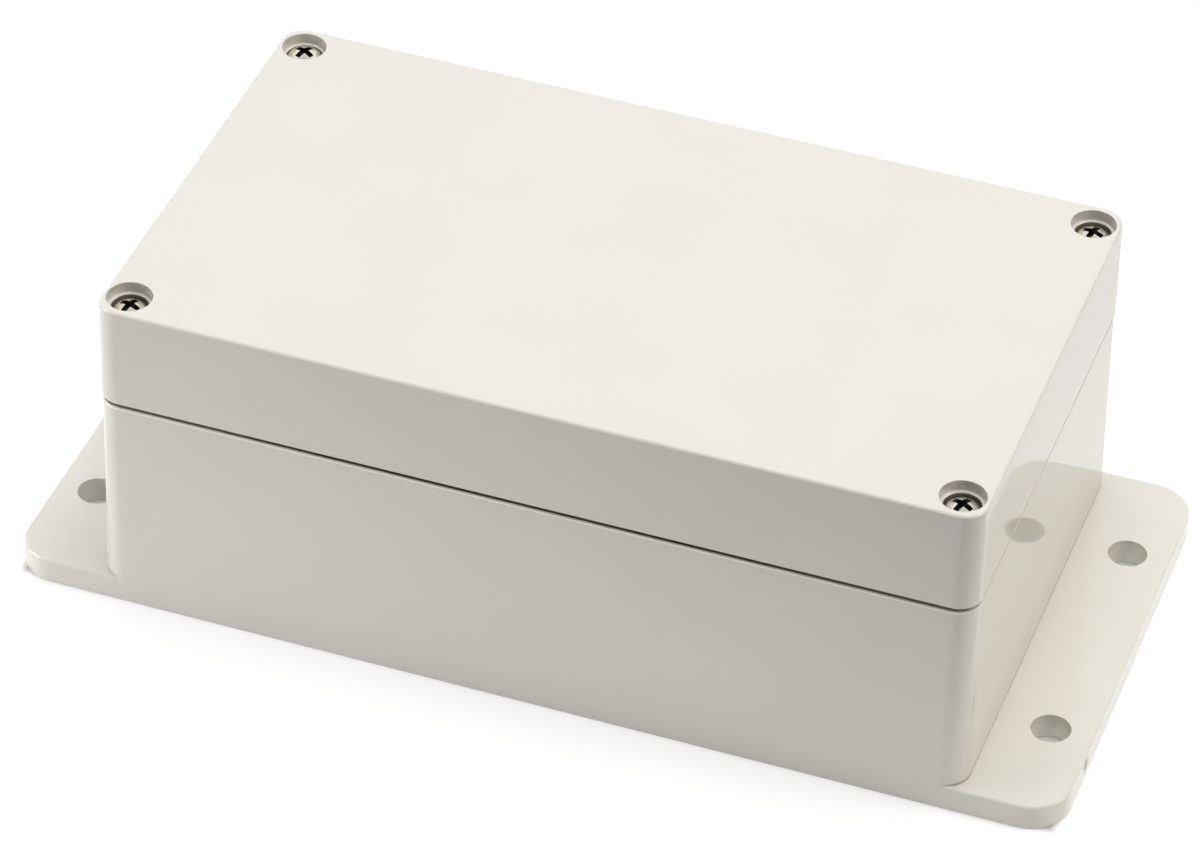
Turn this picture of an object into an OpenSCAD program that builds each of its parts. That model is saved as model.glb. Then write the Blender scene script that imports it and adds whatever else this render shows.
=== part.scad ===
// Waterproof junction box: a moulded base with two end flanges, a flat lid held by four sunk screws,
// a seal in the lid's groove and threaded inserts in the base's corner posts.
// Millimetres, Z up. The origin is at the centre of the underside, X runs along the box.

/* [Box] */
// length of the lid at its lower edge
box_l = 158; // [130:1:200]
// width of the lid at its lower edge
box_w = 90; // [76:1:130]
// height from the underside to the lid's top face
box_h = 64; // [54:0.5:90]
// height of the lid above the seam
lid_h = 19.7; // [16:0.1:26]
// wall thickness at the seam
wall = 3.2; // [3:0.1:4]
// thickness of the base's floor
floor_t = 3; // [2:0.1:4.5]
// thickness of the lid's top
lid_top_t = 3; // [2:0.1:4.5]
// plan radius of the lid's corners at the lower edge
corner_r = 4.2; // [3.6:0.1:5]
// rounding of the lid's top edge
lid_edge_r = 0.6; // [0.2:0.1:0.7]
// draft of the lid, taken off each side up to the top
lid_draft = 0.25; // [0.05:0.05:0.3]
// draft of the base, added to each side from the seam down to the flanges
base_draft = 0.7; // [0.1:0.1:1.2]

/* [Seam and seal] */
// how far the lid stands out over the base at the seam
lid_overhang = 0.2; // [0.05:0.05:0.4]
// height of the open line between lid and base
seam_h = 0.9; // [0.3:0.1:1]
// depth of the open line
seam_depth = 1; // [0.6:0.1:1]
// size of the broken edge on the base below the open line
seam_edge = 0.25; // [0.1:0.05:0.5]
// thickness of the base's tongue
tongue_t = 0.9; // [0.7:0.1:1]
// height of the tongue above the rim
tongue_h = 1.8; // [1:0.1:3]
// room between the tongue and each side of the lid's groove
groove_clear = 0.3; // [0.2:0.05:0.35]
// thickness of the seal under pressure
seal_t = 1.5; // [0.8:0.1:2.5]
// room between the seal and each side of the groove
seal_clear = 0.1; // [0.05:0.05:0.2]
// radius at which the tongue passes inside each screw
seal_arc_r = 3; // [2.8:0.1:3.4]

/* [Flanges] */
// how far each flange stands out from the foot of the end wall
flange_reach = 17.1; // [14:0.1:26]
// thickness of the flanges
flange_t = 5; // [3:0.1:7]
// plan radius of the flange corners
flange_corner_r = 7.5; // [5:0.1:10]
// rounding of the flanges' top edge
flange_edge_r = 0.5; // [0.2:0.1:0.8]
// diameter of the fixing holes
fix_hole_d = 7; // [4:0.1:8]
// distance from a flange's end to the centres of its holes
fix_hole_end = 7.6; // [6:0.1:9]
// distance between the two holes of a flange
fix_hole_pitch = 49.5; // [30:0.5:62]

/* [Lid screws] */
// distance from the lid's end to the screw centres
screw_inset_l = 5; // [4.8:0.1:6]
// distance from the lid's side to the screw centres
screw_inset_w = 5.5; // [5:0.1:6.5]
// diameter of the counterbore in the lid's top
counterbore_d = 8; // [7.6:0.1:8.2]
// depth of the counterbore down to its ledge
counterbore_h = 2; // [1:0.1:3]
// diameter of the head's pocket below the ledge
pocket_d = 6.6; // [6.4:0.1:7.4]
// depth of the head's seat below the lid's top
seat_depth = 3.9; // [3:0.1:6]
// diameter of the screw's head
head_d = 6; // [5:0.1:6.2]
// height of the screw's head
head_h = 2.4; // [1.8:0.1:2.8]
// radius of the head's dome
dome_r = 4.4; // [3.6:0.1:8]
// diameter of the screw's shank
screw_d = 3; // [2.5:0.1:3.2]
// room between the shank and its hole in the lid, all round
screw_room = 0.3; // [0.2:0.05:0.4]
// room between the shank and the bore of its insert, all round
thread_room = 0.05; // [0.02:0.01:0.1]
// how far the screw's point stands out below its insert
point_out = 1; // [0.5:0.1:3]
// length of the point's taper
point_taper = 0.6; // [0.3:0.1:1]
// reach of the cross recess across the head's dome
recess_l = 3.8; // [2.6:0.1:4.2]
// width of the cross recess
recess_w = 1.1; // [0.6:0.1:1.2]
// depth of the cross recess
recess_h = 1.5; // [1:0.1:1.7]
// how far the back left screw stands up from its seat
screw_up_bl = 0.7; // [0:0.1:1.2]

/* [Inserts] */
// outer diameter of the threaded inserts
insert_d = 4.2; // [3.8:0.1:4.4]
// length of the inserts
insert_l = 8; // [5:0.5:12]
// how far the inserts lie below the rim
insert_drop = 0.2; // [0.1:0.1:0.5]
// room between an insert and its post, all round
insert_room = 0.02; // [0.01:0.01:0.05]
// width of the groove round the middle of an insert
insert_groove_w = 1.6; // [0.8:0.1:2.5]
// depth of that groove
insert_groove_h = 0.25; // [0.1:0.05:0.3]
// room left in the post below the screw's point
point_room = 1.5; // [1:0.1:3]

/* [Board bosses] */
// distance from the lid's end to the boss centres
boss_inset_l = 22; // [16:0.5:40]
// distance from the lid's side to the boss centres
boss_inset_w = 18; // [14:0.5:30]
// diameter of the bosses
boss_d = 7; // [6:0.1:9]
// height of the bosses above the floor
boss_h = 5; // [3:0.1:8]
// diameter of the pilot hole in each boss
pilot_d = 2.6; // [2:0.1:3.4]
// depth of the pilot hole
pilot_h = 5.5; // [3:0.1:6]

/* [Hidden] */
$fn = 64;

// levels
rim_z = box_h - lid_h;
seam_z = rim_z - seam_h;
seat_z = box_h - seat_depth;
insert_z = rim_z - insert_drop - insert_l;
point_z = insert_z - point_out;
groove_h = tongue_h + seal_t;

// outlines of the base at its rim and at its foot
rim_l = box_l - 2 * lid_overhang;
rim_w = box_w - 2 * lid_overhang;
rim_r = corner_r - lid_overhang;
foot_l = rim_l + 2 * base_draft;
foot_w = rim_w + 2 * base_draft;
foot_r = rim_r + base_draft;
overall_l = foot_l + 2 * flange_reach;

// seal line
tongue_inset = (wall - tongue_t) / 2;
cavity_in = wall - tongue_inset;

// places
screw_x = box_l / 2 - screw_inset_l;
screw_y = box_w / 2 - screw_inset_w;
fix_hole_x = overall_l / 2 - fix_hole_end;
fix_hole_y = fix_hole_pitch / 2;
boss_x = box_l / 2 - boss_inset_l;
boss_y = box_w / 2 - boss_inset_w;
screw_len = seat_z - point_z;
// widening of the cross recess per height, so that it has its full reach where it meets the dome
recess_rise = recess_h - dome_r + sqrt(pow(dome_r, 2) - pow(recess_l / 2, 2));
recess_flare = (recess_l - recess_w) / recess_rise;
// turn of each screw's cross recess
turn_fl = 75;
turn_fr = 68;
turn_br = 76;
turn_bl = 67;
// overshoot of cuts past the face they open
past = 1;

housing_grey = "#d9d7d0";
seal_grey = "#3a3a3a";
steel = "#c4c6c8";
brass = "#c9a44c";

module at_four(x, y) {
  for (sx = [-1, 1], sy = [-1, 1]) translate([sx * x, sy * y, 0]) children();
}

// quarter turns of a half section at the four corners of a plan
module at_corners(x, y) {
  for (mx = [0, 1], my = [0, 1]) mirror([mx, 0, 0]) mirror([0, my, 0]) translate([x, y, 0])
    rotate_extrude(angle = 90) children();
}

module rounded_plate(l, w, r) {
  union() {
    square([l - 2 * r, w], center = true);
    square([l, w - 2 * r], center = true);
    at_four(l / 2 - r, w / 2 - r) circle(r = r);
  }
}

// half section of a moulded side: straight draft from the foot, rounded edge at the top
module side_section(reach, h, draft, edge) {
  cz = h - edge;
  cx = reach - draft * cz / h - edge;
  union() {
    polygon([[0, 0], [reach, 0], [cx + edge, cz], [cx, cz], [cx, h], [0, h]]);
    translate([cx, cz]) intersection() {
      circle(r = edge);
      square(edge);
    }
  }
}

// whole section: the corner's half section at each side and the plain block between them
module full_section(reach, r, h, draft, edge) {
  union() {
    translate([reach - r, 0]) side_section(r, h, draft, edge);
    mirror([1, 0]) translate([reach - r, 0]) side_section(r, h, draft, edge);
    translate([r / 2 - reach, 0]) square([2 * reach - r, h]);
  }
}

// block with drafted sides, upright corners rounded and its top edge rounded
module moulded_block(l, w, r, h, draft, edge) {
  union() {
    rotate([90, 0, 90]) translate([0, 0, r - l / 2]) linear_extrude(height = l - 2 * r)
      full_section(w / 2, r, h, draft, edge);
    rotate([90, 0, 0]) translate([0, 0, r - w / 2]) linear_extrude(height = w - 2 * r)
      full_section(l / 2, r, h, draft, edge);
    at_corners(l / 2 - r, w / 2 - r) side_section(r, h, draft, edge);
  }
}

// half section of a wall: upright at its foot, drafted above, its top edge broken at 45 degrees
module wall_section(reach, foot, h, draft, edge) {
  lean = draft * (h - foot - edge) / (h - foot);
  polygon([[0, 0], [reach, 0], [reach, foot], [reach - lean, h - edge], [reach - lean - edge, h], [0, h]]);
}

module wall_full_section(reach, r, foot, h, draft, edge) {
  union() {
    translate([reach - r, 0]) wall_section(r, foot, h, draft, edge);
    mirror([1, 0]) translate([reach - r, 0]) wall_section(r, foot, h, draft, edge);
    translate([r / 2 - reach, 0]) square([2 * reach - r, h]);
  }
}

// block with walls drafted above their foot, upright corners rounded and its top edge broken
module wall_block(l, w, r, foot, h, draft, edge) {
  union() {
    rotate([90, 0, 90]) translate([0, 0, r - l / 2]) linear_extrude(height = l - 2 * r)
      wall_full_section(w / 2, r, foot, h, draft, edge);
    rotate([90, 0, 0]) translate([0, 0, r - w / 2]) linear_extrude(height = w - 2 * r)
      wall_full_section(l / 2, r, foot, h, draft, edge);
    at_corners(l / 2 - r, w / 2 - r) wall_section(r, foot, h, draft, edge);
  }
}

// one corner of the seal line: the part of the plan that stays outside, round a screw
module screw_bay(r) {
  union() {
    circle(r = r);
    translate([-r, 0]) square([r + box_l, box_w]);
    translate([0, -r]) square([box_l, r + box_w]);
  }
}

// plan inside the seal line, taken in by a further distance
module seal_plan(in) {
  difference() {
    square([rim_l - 2 * (tongue_inset + in), rim_w - 2 * (tongue_inset + in)], center = true);
    for (mx = [0, 1], my = [0, 1]) mirror([mx, 0]) mirror([0, my])
      translate([screw_x, screw_y]) screw_bay(seal_arc_r + in);
  }
}

module seal_ring(from, to) {
  difference() {
    seal_plan(from);
    seal_plan(to);
  }
}

module base_shell() {
  difference() {
    union() {
      moulded_block(overall_l, foot_w, flange_corner_r, flange_t, 0, flange_edge_r);
      wall_block(foot_l, foot_w, foot_r, flange_t, seam_z, base_draft, seam_edge);
      translate([0, 0, floor_t]) linear_extrude(height = rim_z - floor_t)
        rounded_plate(rim_l - 2 * seam_depth, rim_w - 2 * seam_depth, rim_r - seam_depth);
    }
    translate([0, 0, floor_t]) linear_extrude(height = rim_z) seal_plan(cavity_in);
  }
}

module base() {
  color(housing_grey) difference() {
    union() {
      base_shell();
      translate([0, 0, seam_z]) linear_extrude(height = seam_h + tongue_h) seal_ring(0, tongue_t);
      at_four(boss_x, boss_y) cylinder(h = floor_t + boss_h, d = boss_d);
    }
    at_four(boss_x, boss_y) translate([0, 0, floor_t + boss_h - pilot_h])
      cylinder(h = pilot_h + past, d = pilot_d);
    at_four(fix_hole_x, fix_hole_y) translate([0, 0, -past]) cylinder(h = flange_t + 2 * past, d = fix_hole_d);
    at_four(screw_x, screw_y) {
      translate([0, 0, insert_z]) cylinder(h = insert_l + insert_drop + past, d = insert_d + 2 * insert_room);
      translate([0, 0, point_z - point_room]) cylinder(h = rim_z - point_z, d = screw_d + 2 * screw_room);
    }
  }
}

module threaded_inserts() {
  color(brass) at_four(screw_x, screw_y) translate([0, 0, insert_z]) difference() {
    cylinder(h = insert_l, d = insert_d);
    translate([0, 0, (insert_l - insert_groove_w) / 2]) difference() {
      cylinder(h = insert_groove_w, d = insert_d + past);
      cylinder(h = insert_groove_w, d = insert_d - 2 * insert_groove_h);
    }
    translate([0, 0, -past]) cylinder(h = insert_l + 2 * past, d = screw_d + 2 * thread_room);
  }
}

module lid() {
  color(housing_grey) difference() {
    translate([0, 0, rim_z]) moulded_block(box_l, box_w, corner_r, lid_h, lid_draft, lid_edge_r);
    translate([0, 0, rim_z - past]) linear_extrude(height = lid_h - lid_top_t + past) seal_plan(cavity_in);
    translate([0, 0, rim_z - past]) linear_extrude(height = groove_h + past)
      seal_ring(-groove_clear, tongue_t + groove_clear);
    at_four(screw_x, screw_y) {
      translate([0, 0, rim_z - past]) cylinder(h = lid_h, d = screw_d + 2 * screw_room);
      translate([0, 0, seat_z]) cylinder(h = seat_depth + past, d = pocket_d);
      translate([0, 0, box_h - counterbore_h]) cylinder(h = counterbore_h + past, d = counterbore_d);
    }
  }
}

module lid_seal() {
  color(seal_grey) translate([0, 0, rim_z + tongue_h]) linear_extrude(height = seal_t)
    seal_ring(seal_clear - groove_clear, tongue_t + groove_clear - seal_clear);
}

// pan head screw with a cross recess, its seat at the origin
module pan_screw(turn) {
  color(steel) difference() {
    union() {
      intersection() {
        cylinder(h = head_h, d = head_d);
        translate([0, 0, head_h - dome_r]) sphere(r = dome_r);
      }
      translate([0, 0, point_taper - screw_len]) cylinder(h = screw_len - point_taper + head_h / 2, d = screw_d);
      translate([0, 0, -screw_len]) cylinder(h = point_taper, d1 = screw_d - point_taper, d2 = screw_d);
    }
    rotate([0, 0, turn]) translate([0, 0, head_h - recess_h]) intersection() {
      union() {
        translate([-recess_l, -recess_w / 2, 0]) cube([2 * recess_l, recess_w, recess_h + past]);
        translate([-recess_w / 2, -recess_l, 0]) cube([recess_w, 2 * recess_l, recess_h + past]);
      }
      cylinder(h = recess_h + past, d1 = recess_w, d2 = recess_w + recess_flare * (recess_h + past));
    }
  }
}

module screw_front_left() { translate([-screw_x, -screw_y, seat_z]) pan_screw(turn_fl); }
module screw_front_right() { translate([screw_x, -screw_y, seat_z]) pan_screw(turn_fr); }
module screw_back_right() { translate([screw_x, screw_y, seat_z]) pan_screw(turn_br); }
module screw_back_left() { translate([-screw_x, screw_y, seat_z + screw_up_bl]) pan_screw(turn_bl); }

base();
threaded_inserts();
lid();
lid_seal();
screw_front_left();
screw_front_right();
screw_back_right();
screw_back_left();
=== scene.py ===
"""Waterproof junction box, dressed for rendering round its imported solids."""

import math
from types import SimpleNamespace

import bmesh
import bpy
from bpy.props import FloatProperty, FloatVectorProperty, IntProperty, PointerProperty
from mathutils import Matrix, Vector


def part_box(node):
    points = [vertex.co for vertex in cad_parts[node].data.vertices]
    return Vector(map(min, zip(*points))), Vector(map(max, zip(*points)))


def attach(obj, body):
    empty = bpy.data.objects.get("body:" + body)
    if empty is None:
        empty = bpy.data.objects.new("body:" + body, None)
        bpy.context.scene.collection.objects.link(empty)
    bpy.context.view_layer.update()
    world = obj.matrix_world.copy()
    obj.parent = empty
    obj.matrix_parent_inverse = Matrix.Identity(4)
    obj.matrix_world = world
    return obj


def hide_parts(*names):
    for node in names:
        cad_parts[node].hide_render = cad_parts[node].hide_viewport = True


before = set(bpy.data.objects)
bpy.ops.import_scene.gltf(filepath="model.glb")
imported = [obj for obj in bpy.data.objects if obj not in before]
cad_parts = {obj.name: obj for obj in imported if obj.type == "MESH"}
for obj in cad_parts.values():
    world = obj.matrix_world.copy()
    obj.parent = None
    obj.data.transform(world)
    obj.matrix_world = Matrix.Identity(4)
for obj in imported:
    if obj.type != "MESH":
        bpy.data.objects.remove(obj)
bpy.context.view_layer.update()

bl_info = {
    "name": "Waterproof Junction Box",
    "version": (1, 0, 0),
    "blender": (4, 5, 0),
    "location": "View3D > Sidebar > Junction Box",
    "description": "Moulded box with end flanges, lid, seal, inserts and lid screws",
    "category": "Add Mesh",
}

SCREWS = ("screw_front_left", "screw_front_right", "screw_back_right", "screw_back_left")

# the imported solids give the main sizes, in metres
LID_LOW, LID_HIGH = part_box("lid")
BASE_LOW, BASE_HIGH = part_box("base")
SEAL_LOW, SEAL_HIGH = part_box("lid_seal")
INSERT_LOW, INSERT_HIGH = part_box("threaded_inserts")
SCREW_LOW, SCREW_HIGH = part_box("screw_front_right")

# one millimetre in metres: shapes are modelled in millimetres and finished in metres
MM = 0.001
# points closer than this are one point, in millimetres
NEAR = 1e-4
# room that keeps two faces out of one plane, in millimetres
HAIR = 0.01
# how far a cutter reaches past the face that it opens, in millimetres
PAST = 1.0
# how far the middle of a rounding lies from the two faces that it joins, as a share of its size
ARC_MIDDLE = 0.3
# faces that meet at more than this angle keep a sharp edge
SHARP_ANGLE = math.radians(38)


def linear(hex_colour):
    """Linear colour of an sRGB hex value."""
    parts = [int(hex_colour[i:i + 2], 16) / 255 for i in (1, 3, 5)]
    return tuple(p / 12.92 if p <= 0.04045 else ((p + 0.055) / 1.055) ** 2.4 for p in parts)


def length(name, description, default):
    """A length that a user can set, in metres."""
    return FloatProperty(name=name, description=description, default=default, min=0.0,
                         precision=5, subtype="DISTANCE", unit="LENGTH")


def angle(name, description, degrees):
    """An angle that a user can set."""
    return FloatProperty(name=name, description=description, default=math.radians(degrees),
                         subtype="ANGLE")


def colour(name, description, hex_colour):
    """A colour that a user can set."""
    return FloatVectorProperty(name=name, description=description, default=linear(hex_colour),
                               size=3, min=0.0, max=1.0, subtype="COLOR")


# settings

class JunctionBoxHousing(bpy.types.PropertyGroup):
    """Sizes of the two mouldings."""
    lid_length: length("Lid length", "Length of the lid at its lower edge", LID_HIGH.x - LID_LOW.x)
    lid_width: length("Lid width", "Width of the lid at its lower edge", LID_HIGH.y - LID_LOW.y)
    rim_height: length("Rim height", "Height of the base's rim", LID_LOW.z)
    top_height: length("Top height", "Height of the lid's top face", LID_HIGH.z)
    overall_length: length("Overall length", "Length over both flanges", BASE_HIGH.x - BASE_LOW.x)
    foot_width: length("Foot width", "Width of the base at the flanges", BASE_HIGH.y - BASE_LOW.y)
    foot_length: length("Foot length", "Length of the base's walls at the flanges", 0.159)
    corner_radius: length("Corner radius", "Plan radius of the lid's corners", 0.0042)
    lid_draft: length("Lid draft", "Draft taken off each side of the lid up to its top", 0.00025)
    base_draft: length("Base draft", "Draft added to each side of the base down to its foot", 0.0007)
    lid_edge: length("Lid edge", "Rounding of the lid's top edge", 0.0006)
    seam_gap: length("Seam gap", "Height of the open line between lid and base", 0.0009)
    seam_depth: length("Seam depth", "Depth of the open line", 0.001)
    seam_edge: length("Seam edge", "Rounding of the base's edge below the open line", 0.00025)
    floor_thickness: length("Floor", "Thickness of the base's floor", 0.003)
    top_thickness: length("Top", "Thickness of the lid's top", 0.003)
    cavity_fillet: length("Cavity fillet", "Rounding where the inner walls meet floor and top", 0.0009)
    flange_thickness: length("Flange", "Thickness of the flanges", 0.005)
    flange_corner: length("Flange corner", "Plan radius of the flange corners", 0.0075)
    flange_edge: length("Flange edge", "Rounding of the flanges' top edge", 0.0005)
    hole_diameter: length("Fixing hole", "Diameter of the fixing holes", 0.007)
    hole_pitch_x: length("Hole pitch along", "Distance between the holes of the two flanges", 0.178)
    hole_pitch_y: length("Hole pitch across", "Distance between the two holes of a flange", 0.0495)
    counterbore: length("Counterbore", "Diameter of the counterbores in the lid", 0.008)
    counterbore_depth: length("Counterbore depth", "Depth of the counterbores to their ledge", 0.002)
    pocket: length("Head pocket", "Diameter of the head's pocket below the ledge", 0.0066)
    shank_hole: length("Shank hole", "Diameter of the shank's hole through the lid", 0.0036)
    hole_edge: length("Hole edge", "Rounding of the rims of the fixing holes", 0.0001)
    bore_edge: length("Bore edge", "Rounding of the rims of the counterbores", 0.00015)
    boss_diameter: length("Boss", "Diameter of the board bosses", 0.007)
    boss_height: length("Boss height", "Height of the board bosses above the floor", 0.005)
    boss_pitch_x: length("Boss pitch along", "Distance between bosses along the box", 0.114)
    boss_pitch_y: length("Boss pitch across", "Distance between bosses across the box", 0.054)
    pilot_diameter: length("Pilot hole", "Diameter of the pilot hole in a boss", 0.0026)
    pilot_depth: length("Pilot depth", "Depth of the pilot hole", 0.0055)


class JunctionBoxSeal(bpy.types.PropertyGroup):
    """Sizes of the seal line, its tongue and its groove."""
    line_length: length("Line length", "Length over the outside of the tongue", 0.1553)
    line_width: length("Line width", "Width over the outside of the tongue", 0.0873)
    bay_radius: length("Bay radius", "Radius at which the tongue passes inside a screw", 0.003)
    tongue: length("Tongue", "Thickness of the tongue", 0.0009)
    tongue_height: length("Tongue height", "Height of the tongue above the rim", BASE_HIGH.z - LID_LOW.z)
    groove_room: length("Groove room", "Room between the tongue and each side of the groove", 0.0003)
    seal_room: length("Seal room", "Room between the seal and each side of the groove", 0.0001)
    seal_thickness: length("Seal", "Thickness of the seal", SEAL_HIGH.z - SEAL_LOW.z)
    seal_round: length("Seal rounding", "Rounding of the seal's edges", 0.0004)
    wall_inset: length("Wall inset", "Distance from the tongue's outside to the inner wall", 0.00205)


class JunctionBoxFixings(bpy.types.PropertyGroup):
    """Sizes of the lid screws and their inserts."""
    head_diameter: length("Head", "Diameter of a screw's head", SCREW_HIGH.x - SCREW_LOW.x)
    head_height: length("Head height", "Height of a screw's head", 0.0024)
    dome_radius: length("Dome", "Radius of the head's dome", 0.0044)
    shank: length("Shank", "Outer diameter of the thread", 0.00296)
    thread_pitch: length("Thread pitch", "Distance between two turns of the thread", 0.0005)
    thread_depth: length("Thread depth", "Depth of the thread", 0.00026)
    recess_reach: length("Recess reach", "Reach of the cross recess over the head", 0.0038)
    recess_width: length("Recess width", "Width of the cross recess", 0.001)
    recess_depth: length("Recess depth", "Depth of the cross recess", 0.0015)
    insert_diameter: length("Insert", "Outer diameter of an insert", 0.0042)
    insert_bore: length("Insert bore", "Bore of an insert", 0.0031)
    insert_groove: length("Insert groove", "Width of the groove round an insert", 0.0016)
    insert_room: length("Insert room", "Room between an insert and its post", 0.00002)
    well_depth: length("Well depth", "Depth of the screw's well below an insert", 0.0025)
    turn_front_left: angle("Front left turn", "Turn of the front left screw's recess", 75)
    turn_front_right: angle("Front right turn", "Turn of the front right screw's recess", 68)
    turn_back_right: angle("Back right turn", "Turn of the back right screw's recess", 76)
    turn_back_left: angle("Back left turn", "Turn of the back left screw's recess", 67)


class JunctionBoxFinish(bpy.types.PropertyGroup):
    """Colours of the materials, and how finely round forms are divided."""
    plastic: colour("Plastic", "Light warm grey of the mouldings", "#dedbd3")
    scar: colour("Scar", "Dull grey of the scar where the moulding's gate was cut", "#75736a")
    # painted shade: brownish grey painted into the bores, the open line and the foot of the end walls
    painted_shade: colour("Painted shade", "Brownish grey of the dust in bores and seam", "#4d4334")
    # painted highlight on the base's edge below the open line
    edge_highlight: colour("Painted edge highlight", "Lighter edge of the base below the seam", "#faf8f2")
    rubber: colour("Rubber", "Dark grey of the seal", "#2b2c2d")
    nickel: colour("Nickel", "Plating of the screws", "#faf5e8")
    # the recess's plating, painted dark for the shade deep in the cross
    recess: colour("Recess", "Dull plating in the cross recess", "#1d1a17")
    brass: colour("Brass", "Brass of the inserts", "#c9a254")
    floor: colour("Floor", "White card that the box stands on", "#f9f9f9")
    table: colour("Table", "Grey table round the card", "#616161")
    round_steps: IntProperty(name="Round steps", description="Sides of a full circle",
                             default=64, min=16, max=128)


SETTINGS = {
    "junction_box_housing": JunctionBoxHousing,
    "junction_box_seal": JunctionBoxSeal,
    "junction_box_fixings": JunctionBoxFixings,
    "junction_box_finish": JunctionBoxFinish,
}


def in_mm(group):
    """The lengths of a settings group, in millimetres."""
    return SimpleNamespace(**{key: getattr(group, key) / MM for key in group.__annotations__})


# places, in millimetres

def screw_axis(node_name):
    """Middle of a screw, on its axis."""
    low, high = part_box(node_name)
    return (low + high) / 2 / MM


def screw_reach():
    """Distance of the screws from the box's middle, along and across."""
    at = screw_axis("screw_front_right")
    return abs(at.x), abs(at.y)


def seat_height():
    """Height of the screw heads' seats."""
    return (SCREW_HIGH.z - bpy.context.scene.junction_box_fixings.head_height) / MM


def four(x, y):
    """The four places at plus and minus x and y."""
    return [(sx * x, sy * y, 0) for sx in (-1, 1) for sy in (-1, 1)]


# modelling

def verts_of(geometry):
    """The vertices in what an operator gives back."""
    return [part for part in geometry if isinstance(part, bmesh.types.BMVert)]


def level_edges(bm, height):
    """The edges that lie at one height."""
    return [e for e in bm.edges if all(abs(v.co.z - height) < NEAR for v in e.verts)]


def bevel(bm, edges, offset, segments):
    """Rounds edges."""
    bmesh.ops.bevel(bm, geom=edges, offset=offset, offset_type="OFFSET", segments=segments,
                    profile=0.5, affect="EDGES", material=-1, clamp_overlap=True)


def block(size_x, size_y, low, high):
    """Block round the upright axis."""
    bm = bmesh.new()
    bmesh.ops.create_cube(bm, size=1.0)
    bmesh.ops.scale(bm, vec=(size_x, size_y, high - low), verts=bm.verts)
    bmesh.ops.translate(bm, vec=(0, 0, (low + high) / 2), verts=bm.verts)
    return bm


def moulded_block(size_x, size_y, low, high, corner, draft=0.0, top_edge=0.0, low_edge=0.0):
    """Block with rounded upright corners, drafted from its lower end, its top and lower edges rounded."""
    bm = block(size_x, size_y, low, high)
    upright = [e for e in bm.edges if abs(e.verts[0].co.z - e.verts[1].co.z) > NEAR]
    bevel(bm, upright, corner, segments=10)
    for x, y, _ in four(size_x / 2 - corner, size_y / 2 - corner):
        arc = [v for v in bm.verts if v.co.z > (low + high) / 2 and v.co.x * x > 0 and v.co.y * y > 0]
        bmesh.ops.scale(bm, vec=(1 - draft / corner, 1 - draft / corner, 1), verts=arc,
                        space=Matrix.Translation((-x, -y, 0)))
    if top_edge:
        bevel(bm, level_edges(bm, high), top_edge, segments=4)
    if low_edge:
        bevel(bm, level_edges(bm, low), low_edge, segments=3)
    return bm


def spun(profile, steps, turns=1, rise=0.0, merge=False):
    """Surface that a line of (radius, height) points sweeps about the upright axis, rising at each step."""
    bm = bmesh.new()
    verts = [bm.verts.new((radius, 0, height)) for radius, height in profile]
    edges = [bm.edges.new(pair) for pair in zip(verts, verts[1:])]
    bmesh.ops.spin(bm, geom=verts + edges, cent=(0, 0, 0), axis=(0, 0, 1), dvec=(0, 0, rise),
                   angle=2 * math.pi * turns, steps=steps * turns, use_merge=merge)
    bmesh.ops.remove_doubles(bm, verts=bm.verts, dist=NEAR)
    return bm


def turned(profile, steps):
    """Solid turned about the upright axis from a line that starts and ends on the axis."""
    bm = spun(profile, steps, merge=True)
    bmesh.ops.recalc_face_normals(bm, faces=bm.faces)
    return bm


def rim_arc(radius, height, edge, up):
    """Points of a cutter that round the rim of a hole, from the wall to just past the face at a height."""
    lift = 0.004
    centre_z = height - up * (edge - lift)
    turns = [math.radians(degrees) for degrees in (0, 30, 60, 90)]
    return [(radius + edge - edge * math.cos(t), centre_z + up * edge * math.sin(t)) for t in turns]


def open_end(radius, top, edge):
    """Upper end of a cutter's profile: the rounded rim at a face, and the way out past it."""
    return [*rim_arc(radius, top, edge, 1), (radius + edge, top + PAST), (0, top + PAST)]


def seal_outline(bm, inset, height, seal):
    """Closed line in plan: the seal line taken in by an inset, with a bay round each screw."""
    screw_x, screw_y = screw_reach()
    half_x, half_y = seal.line_length / 2 - inset, seal.line_width / 2 - inset
    reach = seal.bay_radius + inset
    start = [bm.verts.new(p) for p in ((half_x, 0, height), (half_x, screw_y - reach, height),
                                       (screw_x, screw_y - reach, height))]
    arc = bmesh.ops.spin(bm, geom=start[-1:], cent=(screw_x, screw_y, height), axis=(0, 0, 1),
                         dvec=(0, 0, 0), angle=-math.pi / 2, steps=10)
    bm.verts.ensure_lookup_table()
    end = verts_of(arc["geom_last"])
    end += [bm.verts.new(p) for p in ((screw_x - reach, half_y, height), (0, half_y, height))]
    for chain in (start, end):
        for pair in zip(chain, chain[1:]):
            bm.edges.new(pair)


def seal_prism(insets, low, high, seal):
    """Upright solid inside one seal outline, or between two."""
    bm = bmesh.new()
    for inset in insets:
        seal_outline(bm, inset, low, seal)
    for axis in "XY":
        bmesh.ops.mirror(bm, geom=bm.verts[:] + bm.edges[:], matrix=Matrix.Identity(4),
                         merge_dist=NEAR, axis=axis)
    bmesh.ops.remove_doubles(bm, verts=bm.verts, dist=NEAR)
    if len(insets) == 1:
        bmesh.ops.edgenet_fill(bm, edges=bm.edges[:])
    else:
        bmesh.ops.bridge_loops(bm, edges=bm.edges[:])
    raised = bmesh.ops.extrude_face_region(bm, geom=bm.faces[:], use_keep_orig=True)
    bmesh.ops.translate(bm, vec=(0, 0, high - low), verts=verts_of(raised["geom"]))
    bmesh.ops.recalc_face_normals(bm, faces=bm.faces)
    return bm


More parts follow.
